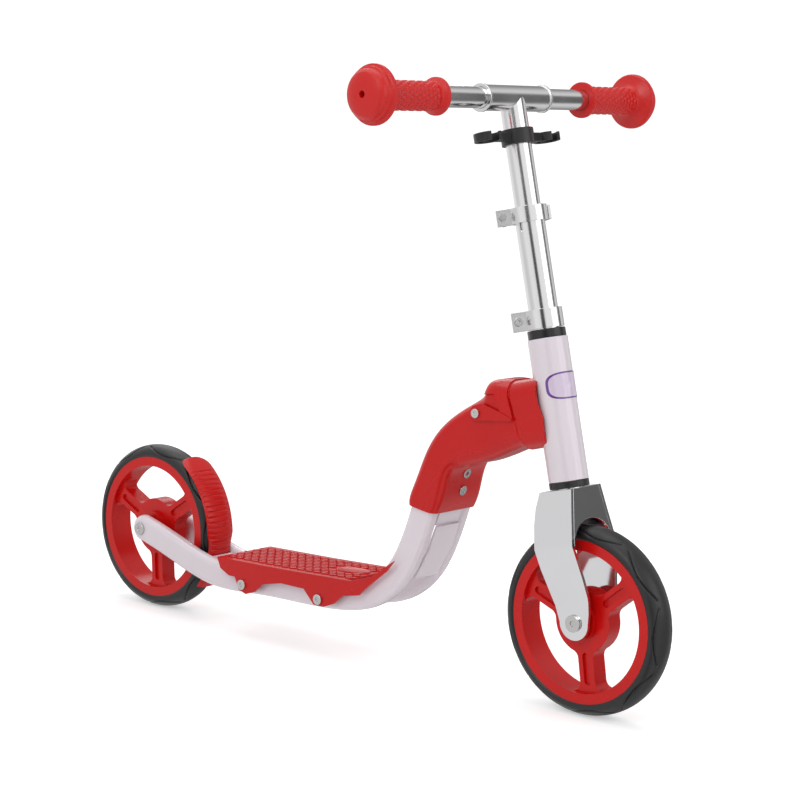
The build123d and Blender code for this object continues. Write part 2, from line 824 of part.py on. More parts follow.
def clamp_band(s_from, s_to):
    """Split band with two ears for its bolt."""
    with BuildPart() as band:
        with BuildSketch(clamp_plane(s_from)):
            Circle(CLAMP_R)
            for ear_y in (-EAR_GAP - EAR_T / 2, EAR_GAP + EAR_T / 2):
                with Locations((24.5, ear_y)):
                    Rectangle(19.0, EAR_T)
            Circle(LOWER_TUBE_R, mode=Mode.SUBTRACT)
            with Locations((20.0, 0)):
                Rectangle(20.0, 2 * EAR_GAP, mode=Mode.SUBTRACT)
        extrude(amount=s_to - s_from)
        with BuildSketch(ear_plane((s_from + s_to) / 2, -20.0)):
            Circle(2.5 + SHANK_GAP)
        extrude(amount=40.0, mode=Mode.SUBTRACT)
    return band.part


LOWER_CLAMP, UPPER_CLAMP = (305.4, 325.4), (416.5, 433.0)
save(clamp_band(*LOWER_CLAMP), "lower_clamp")
save(clamp_band(*UPPER_CLAMP), "upper_clamp")
low_mid, up_mid = sum(LOWER_CLAMP) / 2, sum(UPPER_CLAMP) / 2
ear_face = EAR_GAP + EAR_T
save(button_bolt(ear_plane(low_mid, ear_face), 4.8, 4.0, 2.5, 17.0), "lower_clamp_bolt")


def hex_nut(plane, across, height, bore):
    """Plain hexagon nut."""
    with BuildPart() as nut:
        with BuildSketch(plane):
            RegularPolygon(across / 2, 6, major_radius=False)
            Circle(bore, mode=Mode.SUBTRACT)
        extrude(amount=height)
    return nut.part


save(hex_nut(ear_plane(low_mid, -ear_face), 8.0, -4.0, 2.5), "lower_clamp_nut")
save(hex_nut(ear_plane(up_mid, ear_face), 8.0, 4.0, 2.5), "upper_clamp_nut")

HUB_Y = -(ear_face + BODY_GAP + 4.2)
with BuildPart() as qr_bolt:
    with BuildSketch(ear_plane(up_mid, HUB_Y)):
        Circle(2.5)
    extrude(amount=ear_face - HUB_Y + 5.0)
    with BuildSketch(clamp_plane(up_mid - 3.0)):
        with Locations((EAR_AT, HUB_Y)):
            Circle(3.4)
    extrude(amount=6.0)
    with BuildSketch(clamp_plane(up_mid - 8.2)):
        with Locations((EAR_AT, HUB_Y)):
            Circle(2.0)
    extrude(amount=16.4)
save(qr_bolt.part, "quick_release_bolt")

with BuildPart() as qr_lever:
    with BuildSketch(clamp_plane(up_mid - 7.5)):
        Circle(23.2)
        Circle(20.2, mode=Mode.SUBTRACT)
        Polygon(
            (-30.0, -2.0),
            (-30.0, 40.0),
            (40.0, 40.0),
            (40.0, -12.5),
            (20.0, -8.0),
            (0, 0),
            align=None,
            mode=Mode.SUBTRACT,
        )
        Polygon((18.6, -7.9), (20.4, -12.8), (27.0, -14.2), (27.0, -7.9), align=None)
        with Locations((EAR_AT, HUB_Y)):
            Circle(4.2)
            Circle(2.0 + RUN_GAP, mode=Mode.SUBTRACT)
    extrude(amount=15.0)
    with BuildSketch(clamp_plane(up_mid - 3.3)):
        with Locations((EAR_AT + 1.5, HUB_Y)):
            Rectangle(12.5, 14.0)
    extrude(amount=6.6, mode=Mode.SUBTRACT)
save(qr_lever.part, "quick_release_lever")

# ---------------------------------------------------------------- stem, bars, grips and holder
bar_origin = steer_plane(BAR_S).origin


def bar_plane(y):
    """Plane across the handlebar at y, facing the rider's left."""
    return Plane(origin=(bar_origin.X, y, bar_origin.Z), x_dir=(1, 0, 0), z_dir=(0, 1, 0))


plain_stem = tube_on(steer_plane(364.0), STEM_R, STEM_R - STEM_WALL, BAR_S - 364.0)
with BuildPart() as stem:
    add(plain_stem)
    with BuildSketch(bar_plane(0)):
        Circle(SLEEVE_R)
    extrude(amount=30.0, both=True, mode=Mode.SUBTRACT)
save(stem.part, "stem_tube")

with BuildPart() as sleeve:
    with BuildSketch(bar_plane(0)):
        Circle(SLEEVE_R)
    extrude(amount=SLEEVE_HALF, both=True)
    for y in (-SLEEVE_HALF, SLEEVE_HALF - 3.0):
        with BuildSketch(bar_plane(y)):
            Circle(SLEEVE_R + 1.3)
        extrude(amount=3.0)
    with BuildSketch(bar_plane(0)):
        Circle(BAR_R + RUN_GAP)
    extrude(amount=SLEEVE_HALF + 5.0, both=True, mode=Mode.SUBTRACT)
save(sleeve.part, "bar_sleeve")

grip_profile = [
    (BAR_R, GRIP_IN),
    (19.3, GRIP_IN),
    (19.3, GRIP_IN + 3.5),
    (14.3, GRIP_IN + 7.0),
    (14.3, GRIP_OUT - 28.0),
    (20.0, GRIP_OUT - 23.0),
    (29.0, GRIP_OUT - 20.0),
    (30.0, GRIP_OUT - 18.5),
    (30.0, GRIP_OUT - 15.0),
    (28.5, GRIP_OUT - 13.0),
    (25.0, GRIP_OUT - 12.0),
    (24.0, GRIP_OUT - 7.0),
    (19.0, GRIP_OUT - 2.5),
    (11.0, GRIP_OUT),
    (3.5, GRIP_OUT),
    (3.5, BAR_END),
    (BAR_R, BAR_END),
]
for side_name, side in (("left", 1), ("right", -1)):
    with BuildPart() as bar:
        with BuildSketch(bar_plane(side * 3.0)):
            Circle(BAR_R)
            Circle(BAR_R - 1.6, mode=Mode.SUBTRACT)
        extrude(amount=side * (BAR_END - 3.0))
    save(bar.part, f"bar_{side_name}")
    with BuildPart() as grip:
        with BuildSketch(Plane.YZ.offset(bar_origin.X)):
            Polygon(*[(side * y, bar_origin.Z + r) for r, y in grip_profile], align=None)
        revolve(axis=Axis((bar_origin.X, 0, bar_origin.Z), (0, 1, 0)))
    save(grip.part, f"grip_{side_name}")

CLIP_Y, CLIP_IN, CLIP_OUT = 49.0, 11.2, 14.6
with BuildPart() as holder:
    with BuildSketch(steer_plane(498.0)):
        Circle(17.5)
        Circle(STEM_R, mode=Mode.SUBTRACT)
    extrude(amount=16.0)
    with BuildSketch(steer_plane(501.5)):
        Rectangle(8.0, 2 * CLIP_Y - 20.0)
        with Locations((0, CLIP_Y), (0, -CLIP_Y)):
            Circle(CLIP_OUT)
            Circle(CLIP_IN, mode=Mode.SUBTRACT)
        for side in (-1, 1):
            Polygon(
                (0, side * CLIP_Y), (24.0, side * (CLIP_Y - 12.0)), (24.0, side * (CLIP_Y + 16.0)),
                align=None, mode=Mode.SUBTRACT,
            )
        Circle(STEM_R, mode=Mode.SUBTRACT)
    extrude(amount=9.0)
save(holder.part, "bar_holder")
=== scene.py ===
# %% [markdown]
# # A child's kick scooter
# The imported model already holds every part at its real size, in metres. This notebook keeps that frame,
# gives each part rounded edges and a worked material, and builds finer versions of the pieces that
# carry the most detail: tyres, grips, deck pattern, fender ribs and the head badge.

import json
from math import atan2, cos, pi, radians, sin, sqrt

import bmesh
import bpy
from mathutils import Matrix, Vector
from mathutils.bvhtree import BVHTree


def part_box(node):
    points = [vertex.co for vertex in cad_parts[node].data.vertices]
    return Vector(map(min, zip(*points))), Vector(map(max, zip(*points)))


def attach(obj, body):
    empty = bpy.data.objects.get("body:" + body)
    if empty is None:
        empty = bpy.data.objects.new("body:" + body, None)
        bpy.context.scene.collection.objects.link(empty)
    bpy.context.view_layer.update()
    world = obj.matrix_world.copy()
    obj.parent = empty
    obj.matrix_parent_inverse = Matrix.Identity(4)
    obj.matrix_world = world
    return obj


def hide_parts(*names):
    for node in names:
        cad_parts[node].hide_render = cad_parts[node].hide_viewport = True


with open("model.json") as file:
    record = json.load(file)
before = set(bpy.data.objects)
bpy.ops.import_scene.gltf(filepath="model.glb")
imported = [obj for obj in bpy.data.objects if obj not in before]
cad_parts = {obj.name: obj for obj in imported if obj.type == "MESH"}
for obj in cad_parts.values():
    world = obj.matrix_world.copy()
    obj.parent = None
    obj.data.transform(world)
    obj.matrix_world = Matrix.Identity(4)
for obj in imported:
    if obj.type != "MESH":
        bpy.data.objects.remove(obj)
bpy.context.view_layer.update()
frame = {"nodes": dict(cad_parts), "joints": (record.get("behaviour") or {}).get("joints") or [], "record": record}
nodes = frame["nodes"]
MM = 0.001
joints = {joint["name"]: joint for joint in frame["joints"]}
body_of = {}
for body, members in frame["record"]["behaviour"]["bodies"].items():
    for member in members:
        body_of[member] = body
slot_of = {part["node"]: part["material_slot"] for part in frame["record"]["subparts"]}
print("loaded", len(nodes), "nodes")

# %% [markdown]
# ## Places that everything is measured from
# The wheel centres, the steering axis and the handlebar come from the frame's own joints and boxes,
# so nothing here is typed in twice.

# %% Axes of the scooter
rear_centre = Vector(joints["rear_wheel_spin"]["pos_m"])
front_centre = Vector(joints["front_wheel_spin"]["pos_m"])
steer_up = Vector(joints["steering_turn"]["axis"]).normalized()
steer_foot = Vector(joints["steering_turn"]["pos_m"])
steer_forward = Vector((steer_up.z, 0, -steer_up.x))
sideways = Vector((0, 1, 0))
sleeve_low, sleeve_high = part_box("bar_sleeve")
bar_centre = (sleeve_low + sleeve_high) / 2
print("bar centre", bar_centre)

# %% [markdown]
# ## The camera
# A long lens keeps the wheels round. The camera stands ahead of the scooter on the rider's right, a little
# above the deck, and leans by less than two degrees.

# %% Camera
CAMERA_PLACE = Vector((1.6129, -1.7854, 0.6359))
LENS_MM, SENSOR_MM = 97.5, 36.0
AZIMUTH, ELEVATION, ROLL = radians(41.05), radians(8.09), radians(1.63)
look = Vector((-sin(AZIMUTH) * cos(ELEVATION), cos(AZIMUTH) * cos(ELEVATION), -sin(ELEVATION)))
level = Vector((cos(AZIMUTH), sin(AZIMUTH), 0))
down = look.cross(level)
camera_right = cos(ROLL) * level - sin(ROLL) * down
camera_down = sin(ROLL) * level + cos(ROLL) * down
camera_data = bpy.data.cameras.new("camera")
camera_data.lens = LENS_MM
camera_data.sensor_width = SENSOR_MM
camera = bpy.data.objects.new("camera", camera_data)
bpy.context.scene.collection.objects.link(camera)
turn = Matrix((camera_right, -camera_down, -look)).transposed()
camera.matrix_world = Matrix.Translation(CAMERA_PLACE) @ turn.to_4x4()
bpy.context.scene.camera = camera
print("camera", round((CAMERA_PLACE - bar_centre).length, 2), "m from the handlebar")

# %% [markdown]
# ## Shader building blocks
# Every finish needs a slow drift of tone and a fine grain. Both are made once, as node groups that put
# out plain values, and each material places them with its own sizes.

# %% Node groups
def new_group(name, inputs, outputs):
    """Empty shader group with float inputs and outputs, and its two end nodes."""
    group = bpy.data.node_groups.new(name, "ShaderNodeTree")
    for label, value in inputs:
        socket = group.interface.new_socket(label, in_out="INPUT", socket_type="NodeSocketFloat")
        socket.default_value = value
    for label in outputs:
        group.interface.new_socket(label, in_out="OUTPUT", socket_type="NodeSocketFloat")
    return group, group.nodes.new("NodeGroupInput"), group.nodes.new("NodeGroupOutput")


def noise_into(group, scale_socket, detail, output_socket):
    """One noise pattern on Object coordinates, wired to an output of the group."""
    coordinates = group.nodes.new("ShaderNodeTexCoord")
    noise = group.nodes.new("ShaderNodeTexNoise")
    noise.inputs["Detail"].default_value = detail
    group.links.new(coordinates.outputs["Object"], noise.inputs["Vector"])
    group.links.new(scale_socket, noise.inputs["Scale"])
    group.links.new(noise.outputs["Fac"], output_socket)


surface_group, group_in, group_out = new_group(
    "surface_variation", [("Drift Scale", 12.0), ("Grain Scale", 900.0)], ["Drift", "Grain"]
)
noise_into(surface_group, group_in.outputs["Drift Scale"], 3.0, group_out.inputs["Drift"])
noise_into(surface_group, group_in.outputs["Grain Scale"], 2.0, group_out.inputs["Grain"])


# %% [markdown]
# ## One maker for all the finishes
# A finish is a base colour that drifts between two near tones, a roughness that drifts between two
# values, and a grain that only bends the light. Metals, lacquer and rubber differ in their numbers.

# %% Finishes
COAT_ROUGHNESS = 0.08
DRIFT_LOW, DRIFT_HIGH = 0.3, 0.7
GRAIN_DEPTH = 0.001


def finish(
    name, dark, light, rough, metallic=0.0, grain=900.0, bump=0.02, drift=12.0, coat=0.0, specular=0.5
):
    """Principled material whose tone and roughness drift and whose grain bends the light."""
    material = bpy.data.materials.new(name)
    material.use_nodes = True
    tree = material.node_tree
    shader = tree.nodes["Principled BSDF"]
    shader.inputs["Metallic"].default_value = metallic
    shader.inputs["Coat Weight"].default_value = coat
    shader.inputs["Coat Roughness"].default_value = COAT_ROUGHNESS
    shader.inputs["Specular IOR Level"].default_value = specular
    pattern = tree.nodes.new("ShaderNodeGroup")
    pattern.node_tree = surface_group
    pattern.inputs["Drift Scale"].default_value = drift
    pattern.inputs["Grain Scale"].default_value = grain
    tones = tree.nodes.new("ShaderNodeMix")
    tones.data_type = "RGBA"
    tones.inputs["A"].default_value = (*dark, 1.0)
    tones.inputs["B"].default_value = (*light, 1.0)
    tree.links.new(pattern.outputs["Drift"], tones.inputs["Factor"])
    tree.links.new(tones.outputs["Result"], shader.inputs["Base Color"])
    polish = tree.nodes.new("ShaderNodeMapRange")
    polish.inputs["From Min"].default_value = DRIFT_LOW
    polish.inputs["From Max"].default_value = DRIFT_HIGH
    polish.inputs["To Min"].default_value = rough[0]
    polish.inputs["To Max"].default_value = rough[1]
    tree.links.new(pattern.outputs["Drift"], polish.inputs["Value"])
    tree.links.new(polish.outputs["Result"], shader.inputs["Roughness"])
    relief = tree.nodes.new("ShaderNodeBump")
    relief.inputs["Strength"].default_value = bump
    relief.inputs["Distance"].default_value = GRAIN_DEPTH
    tree.links.new(pattern.outputs["Grain"], relief.inputs["Height"])
    tree.links.new(relief.outputs["Normal"], shader.inputs["Normal"])
    return material


# Each row gives the dark tone, the light tone, the two roughness values and what else differs.
finish_table = {
    "red_plastic": ((0.53, 0.002, 0.002), (0.6, 0.004, 0.003), (0.22, 0.32), {"coat": 0.12, "specular": 0.3}),
    "red_rim": ((0.56, 0.002, 0.002), (0.64, 0.005, 0.003), (0.24, 0.34), {"coat": 0.1, "specular": 0.3}),
    "red_grip": ((0.56, 0.003, 0.002), (0.64, 0.006, 0.004), (0.3, 0.42), {"bump": 0.12, "grain": 1500.0}),
    "frame_paint": ((0.74, 0.665, 0.72), (0.8, 0.735, 0.785), (0.16, 0.26), {"coat": 0.5, "drift": 6.0}),
    "tyre": ((0.007, 0.007, 0.008), (0.013, 0.013, 0.015), (0.32, 0.44), {"bump": 0.15, "grain": 1800.0}),
    "chrome": ((0.78, 0.78, 0.8), (0.84, 0.84, 0.85), (0.05, 0.12), {"metallic": 1.0, "bump": 0.01}),
    "aluminium": ((0.74, 0.73, 0.74), (0.82, 0.81, 0.82), (0.12, 0.22), {"metallic": 1.0, "bump": 0.02}),
    "black_plastic": ((0.008, 0.008, 0.009), (0.014, 0.014, 0.016), (0.28, 0.4), {"bump": 0.05}),
    "steel": ((0.56, 0.55, 0.55), (0.68, 0.67, 0.66), (0.18, 0.3), {"metallic": 1.0, "bump": 0.04}),
    "badge_border": ((0.13, 0.03, 0.26), (0.17, 0.05, 0.32), (0.2, 0.28), {"coat": 0.6}),
    "badge": ((0.66, 0.55, 0.7), (0.72, 0.61, 0.76), (0.18, 0.25), {"coat": 0.6}),
}
finishes = {}
for name, (dark, light, rough, extras) in finish_table.items():
    finishes[name] = finish(name, dark, light, rough, **extras)
print("finishes", sorted(finishes))

# %% [markdown]
# ## Rounding the edges of the frame's parts
# A moulded or machined edge is never razor sharp, and the thin bright line on it is what makes a part
# look real. The frame's meshes are loose triangles, so a copy is welded first, its flat areas are joined
# up again, and then only the edges that turn sharply are bevelled.

# %% Rounded copies
SHARP_TURN, FLAT_TURN, SHADE_TURN = radians(28), radians(0.4), radians(40)
LOOSE_WELD = 0.00002


def keep_mesh(bm, name, finish_name, body):
    """Turn a finished bmesh into a piece that rides on a body."""
    mesh = bpy.data.meshes.new(name)
    bm.to_mesh(mesh)
    bm.free()
    mesh.shade_smooth()
    mesh.set_sharp_from_angle(angle=SHADE_TURN)
    piece = bpy.data.objects.new(name, mesh)
    bpy.context.scene.collection.objects.link(piece)
    mesh.materials.append(finishes[finish_name])
    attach(piece, body)
    return piece


def rounded(node, radius_mm, reshape=None):
    """Replace a CAD node by a welded copy with rounded edges, reshaped first where asked."""
    bm = bmesh.new()
    bm.from_mesh(nodes[node].data)
    bmesh.ops.remove_doubles(bm, verts=bm.verts, dist=LOOSE_WELD)
    bmesh.ops.dissolve_limit(bm, angle_limit=FLAT_TURN, verts=bm.verts, edges=bm.edges)
    if reshape:
        reshape(bm)
    sharp = [e for e in bm.edges if len(e.link_faces) == 2 and e.calc_face_angle(0) > SHARP_TURN]
    bmesh.ops.bevel(
        bm, geom=sharp, offset=radius_mm * MM, segments=2, profile=0.5, affect="EDGES", material=-1,
        clamp_overlap=True,
    )
    piece = keep_mesh(bm, f"{node}_rounded", slot_of[node], body_of[node])
    weighted = piece.modifiers.new("even_shading", "WEIGHTED_NORMAL")
    weighted.keep_sharp = True
    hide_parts(node)
    return piece


HEAD_TUBE_R, COLLAR_STOP = 21.2, 6.0
RIM_FACING, RIM_LEVEL = 0.35, 0.02
CAP_FLOOR, CAP_BLEND, CAP_DROP = 0.320, 0.006, 1.3


def hug_head_tube(bm):
    """Run the collar's open rim forward until it meets the head tube."""
    rim = set()
    for face in bm.faces:
        if face.normal.dot(steer_forward) > RIM_FACING and abs(face.normal.y) < RIM_LEVEL:
            rim.update(face.verts)
    for vert in rim:
        arm = vert.co - steer_foot
        ahead = arm.dot(steer_forward) / MM
        side = abs(vert.co.y) / MM
        wanted = -sqrt(HEAD_TUBE_R**2 - side**2) if side < HEAD_TUBE_R else -COLLAR_STOP
        wanted = min(wanted, -COLLAR_STOP)
        if ahead < wanted:
            vert.co += steer_forward * (wanted - ahead) * MM


def settle_cap(bm):
    """Bring the latch's cap down close to the cover that it lies on."""
    for vert in bm.verts:
        if vert.co.z > CAP_FLOOR:
            vert.co.z -= CAP_DROP * MM * min(1.0, (vert.co.z - CAP_FLOOR) / CAP_BLEND)


reshaped = {"neck_collar": hug_head_tube, "latch_lever": settle_cap}
edge_radius = {
    "rear_rim": 1.4, "front_rim": 1.4, "deck": 1.2, "latch_lever": 0.6, "cover_left": 0.7, "cover_right": 0.7,
    "neck_collar": 0.7, "fork_crown": 0.7, "fork_blade_left": 1.2, "fork_blade_right": 1.2,
    "upper_clamp": 0.6, "lower_clamp": 0.6, "quick_release_lever": 0.6, "bar_sleeve": 0.6, "bar_holder": 0.5,
    "headset_cap_upper": 0.8, "headset_ring_lower": 0.8, "head_tube": 0.8, "deck_bolts": 0.8,
    "cover_screws": 0.7, "latch_screws": 0.6, "front_axle": 0.7, "rear_axle": 0.7, "front_axle_nut": 0.7,
    "rear_axle_nut": 0.7, "lower_clamp_bolt": 0.6, "lower_clamp_nut": 0.4, "upper_clamp_nut": 0.4,
    "frame_web": 0.8, "fender_crossbar": 0.8, "bar_left": 0.4, "bar_right": 0.4, "stem_tube": 0.4,
    "lower_tube": 0.4,
}
for node, radius in edge_radius.items():
    rounded(node, radius, reshape=reshaped.get(node))
rebuilt = {"rear_tyre", "front_tyre", "grip_left", "grip_right", "rear_fender", "head_badge"}
for node, item in nodes.items():
    if node not in edge_radius and node not in rebuilt:
        item.data.materials.clear()
        item.data.materials.append(finishes[slot_of[node]])
        item.data.shade_smooth()
print("rounded", len(edge_radius), "parts")

# %% [markdown]
# ## Tyres
# A scooter tyre of this kind is a solid or foam rubber ring with a nearly round section. Long crescent
# grooves are moulded into both shoulders. The ring is spun from its section in fine steps, and the
# points that fall inside a groove are then drawn towards the middle of the section.

# %% Tyres
TYRE_SEAT_R, TYRE_CORE_R, TYRE_HALF_W = 80.4, 88.0, 17.0
BEAD_R, BEAD_HALF_W, SEAT_HALF_W = 84.0, 14.5, 10.5
TREAD_RISE, TREAD_ROUND, BEAD_DIP = 12.0, 0.9, -0.2
SECTION_REACH, SECTION_STEPS, TYRE_STEPS = 100, 60, 540
CRESCENTS, CRESCENT_FROM, CRESCENT_TO, CRESCENT_SPAN = 9, 0.06, 0.94, 0.88
CRESCENT_HIGH, CRESCENT_SWING = 60, 40
SECTION_R, SHOULDER_R = 14.0, 95.0
GROOVE_HALF_W, GROOVE_DEPTH = 1.5, 1.5
SPUN_WELD = 0.00001


def spun(profile, centre, axis, out, steps, angle=2 * pi):
    """Surface of revolution from (radius, height) pairs in millimetres; heights run along the axis."""
    bm = bmesh.new()
    points = [bm.verts.new(centre + (out * r + axis * h) * MM) for r, h in profile]
    edges = [bm.edges.new(pair) for pair in zip(points, points[1:])]
    bmesh.ops.spin(
        bm, geom=points + edges, cent=centre, axis=axis, angle=angle, steps=steps, use_merge=angle == 2 * pi
    )
    bmesh.ops.remove_doubles(bm, verts=bm.verts, dist=SPUN_WELD)
    return bm


def crescent_depth(around, section_angle):
    """Depth of the shoulder groove at an angle around the tyre and an angle around its section."""
    share = (around / (2 * pi) * CRESCENTS) % 1.0
    if not CRESCENT_FROM < share < CRESCENT_TO:
        return 0.0
    along = (share - CRESCENT_FROM) / CRESCENT_SPAN
    swing = sin(pi * along)
    line = radians(CRESCENT_HIGH - CRESCENT_SWING * swing)
    turn_rate = radians(CRESCENT_SWING) * cos(pi * along) * pi / CRESCENT_SPAN
    slope = turn_rate * CRESCENTS / (2 * pi) * SECTION_R / SHOULDER_R
    away = abs(section_angle - line) * SECTION_R / sqrt(1 + slope * slope)
    inside = max(0.0, 1 - away / GROOVE_HALF_W)
    return GROOVE_DEPTH * inside * inside * (3 - 2 * inside)


def tyre(end, centre):
    """Rubber ring with crescent grooves on both shoulders."""
    profile = [(TYRE_SEAT_R, -SEAT_HALF_W), (BEAD_R, -BEAD_HALF_W)]
    for step in range(SECTION_STEPS + 1):
        a = radians(-SECTION_REACH + 2 * SECTION_REACH * step / SECTION_STEPS)
        bulge = abs(cos(a)) ** TREAD_ROUND
        rise = TREAD_RISE * bulge * (1 if cos(a) > 0 else BEAD_DIP)
        profile.append((TYRE_CORE_R + rise, TYRE_HALF_W * sin(a)))
    profile += [(BEAD_R, BEAD_HALF_W), (TYRE_SEAT_R, SEAT_HALF_W), (TYRE_SEAT_R, -SEAT_HALF_W)]
    bm = spun(profile, centre, sideways, Vector((1, 0, 0)), TYRE_STEPS)
    for vert in bm.verts:
        arm = vert.co - centre
        radius = sqrt(arm.x**2 + arm.z**2)
        rise = radius / MM - TYRE_CORE_R
        if rise < -1:
            continue
        section_angle = atan2(rise * TYRE_HALF_W / TREAD_RISE, abs(arm.y) / MM)
        side_shift = 0.0 if arm.y > 0 else pi / CRESCENTS
        depth = crescent_depth(atan2(arm.z, arm.x) + side_shift, section_angle) * MM
        outward = Vector((arm.x / radius, 0, arm.z / radius))
        vert.co -= outward * depth * sin(section_angle)
        vert.co.y -= depth * cos(section_angle) * (1 if arm.y > 0 else -1)
    bmesh.ops.recalc_face_normals(bm, faces=bm.faces)
    piece = keep_mesh(bm, f"{end}_tyre_grooved", "tyre", f"{end}_wheel")
    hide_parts(f"{end}_tyre")
    print(piece.name, len(piece.data.polygons), "faces")


tyre("rear", rear_centre)
tyre("front", front_centre)

# %% [markdown]
# ## Grips
# Each grip is one moulded rubber sleeve: a thin collar at the inner end, a bumpy hand part, and a large
# stepped flange that keeps small hands from sliding off. The domed end has a hole over the tube.

# %% Grips
BUMPS_AROUND, BUMP_PITCH, BUMP_R, BUMP_H = 15, 5.8, 2.5, 0.9
BUMPS_FROM, BUMPS_SHORT, BUMPS_START, BUMPS_ABOVE_R = 9.5, 30, 12.5, 13
HAND_R, HAND_FROM, HAND_SHORT, HAND_STEP = 14.3, 7.5, 36, 0.8
GRIP_STEPS, GRIP_CREASE, GRIP_EDGE = 120, radians(24), 0.6


def bump_height(around, along):
    """Height of the raised dots at a place on the hand part."""
    row = round(along / BUMP_PITCH)
    turned = around / (2 * pi) * BUMPS_AROUND + (0.5 if row % 2 else 0.0)
    off_around = (turned - round(turned)) * 2 * pi * HAND_R / BUMPS_AROUND
    off_along = along - row * BUMP_PITCH
    away = sqrt(off_around**2 + off_along**2) / BUMP_R
    return BUMP_H * sqrt(max(0.0, 1 - away**3))


def grip(side_name, side):
    """Rubber grip spun about the bar, with dots raised on its hand part."""
    low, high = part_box(f"grip_{side_name}")
    inner = min(abs(low.y), abs(high.y)) / MM
    outer = max(abs(low.y), abs(high.y)) / MM
    rings = int((outer - inner - HAND_SHORT) / HAND_STEP)
    hand = [(HAND_R, inner + HAND_FROM + HAND_STEP * ring) for ring in range(rings)]
    profile = (
        [(11.0, inner), (19.3, inner), (19.3, inner + 3.8), (15.2, inner + 6.5)]
        + hand
        + [
            (14.8, outer - 27), (19.0, outer - 23.5), (28.6, outer - 20.5), (30.0, outer - 19),
            (30.0, outer - 15), (27.4, outer - 14), (27.4, outer - 10.2), (25.2, outer - 9.4),
            (24.4, outer - 5.5), (21.5, outer - 2.6), (16.5, outer - 0.8), (10.0, outer), (3.5, outer),
            (3.5, outer - 14), (11.0, outer - 14.5), (11.0, inner),
        ]
    )
    bar_middle = Vector((bar_centre.x, 0, bar_centre.z))
    bm = spun(profile, bar_middle, sideways * side, Vector((0, 0, 1)), GRIP_STEPS)
    creases = [e for e in bm.edges if len(e.link_faces) == 2 and e.calc_face_angle(0) > GRIP_CREASE]
    bmesh.ops.bevel(
        bm, geom=creases, offset=GRIP_EDGE * MM, segments=3, profile=0.5, affect="EDGES", material=-1,
        clamp_overlap=True,
    )
    for vert in bm.verts:
        arm = vert.co - bar_middle
        along = abs(arm.y) / MM - inner
        radius = sqrt(arm.x**2 + arm.z**2)
        if BUMPS_FROM < along < outer - inner - BUMPS_SHORT and radius > BUMPS_ABOVE_R * MM:
            rise = bump_height(atan2(arm.z, arm.x), along - BUMPS_START) * MM
            vert.co.x += arm.x / radius * rise
            vert.co.z += arm.z / radius * rise
    bmesh.ops.recalc_face_normals(bm, faces=bm.faces)
    piece = keep_mesh(bm, f"grip_{side_name}_dotted", "red_grip", f"bar_{side_name}")
    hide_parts(f"grip_{side_name}")
    print(piece.name, len(piece.data.polygons), "faces")


grip("left", 1)
grip("right", -1)

# %% [markdown]
# ## Rear fender
# The fender follows the tyre. Its back is arched, its top end is rounded, and close ribs run across it.
# It is spun as a closed section, and its ends are filled.

# %% Fender
FENDER_IN_R, FENDER_OUT_R, FENDER_HALF_W = 102.6, 106.0, 20.9
FENDER_FROM, FENDER_TO = radians(-36), radians(60)
FENDER_STEPS, ARCH_STEPS, ARCH_DROP, ARCH_ROUND, LIP_INSET = 330, 24, 2.6, 3.2, 0.4
END_ROUND, END_SHARE, END_GROWTH = 14, 0.55, 0.45
NARROW_BELOW, NARROW_BLEND, NARROW_SHARE = 0.105, 0.011, 0.125
RIB_PITCH, RIB_DEPTH, RIB_LAND, RIB_FLANK, RIB_HALF_W = radians(3.6), 1.0, 0.62, 0.38, 0.0175
RIBS_FROM, RIBS_TO, RIB_SKIN = radians(-24), radians(50), 0.6

profile = []
for step in range(ARCH_STEPS + 1):
    across = -1 + 2 * step / ARCH_STEPS
    profile.append((FENDER_OUT_R - ARCH_DROP * abs(across) ** ARCH_ROUND, FENDER_HALF_W * across))
profile += [(FENDER_IN_R, FENDER_HALF_W - LIP_INSET), (FENDER_IN_R, LIP_INSET - FENDER_HALF_W), profile[0]]
fender_out = Vector((cos(FENDER_FROM), 0, sin(FENDER_FROM)))
bm = spun(profile, rear_centre, -sideways, fender_out, FENDER_STEPS, FENDER_TO - FENDER_FROM)
bmesh.ops.holes_fill(bm, edges=[e for e in bm.edges if e.is_boundary], sides=0)
for vert in bm.verts:
    arm = vert.co - rear_centre
    radius = sqrt(arm.x**2 + arm.z**2)
    around = atan2(arm.z, arm.x)
    to_top = (FENDER_TO - around) * FENDER_OUT_R
    if to_top < END_ROUND:
        vert.co.y *= END_SHARE + END_GROWTH * sqrt(max(0.0, 1 - (1 - to_top / END_ROUND) ** 2))
    if vert.co.z < NARROW_BELOW:
        vert.co.y *= 1 - NARROW_SHARE * min(1.0, (NARROW_BELOW - vert.co.z) / NARROW_BLEND)
    on_back = radius / MM > FENDER_IN_R + RIB_SKIN and abs(arm.y) < RIB_HALF_W
    if on_back and RIBS_FROM < around < RIBS_TO:
        wave = abs(((around / RIB_PITCH) % 1.0) - 0.5) * 2
        cut = RIB_DEPTH * max(0.0, (wave - RIB_LAND) / RIB_FLANK) * MM
        vert.co.x -= arm.x / radius * cut
        vert.co.z -= arm.z / radius * cut
bmesh.ops.recalc_face_normals(bm, faces=bm.faces)
fender = keep_mesh(bm, "rear_fender_ribbed", "red_plastic", "frame")
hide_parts("rear_fender")
print(fender.name, len(fender.data.polygons), "faces")

# %% [markdown]
# ## Deck tread
# The deck is moulded with rows of short raised bars for grip, and a smooth oval patch near its front.
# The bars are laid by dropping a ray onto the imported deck, so each follows the board's gentle bend.

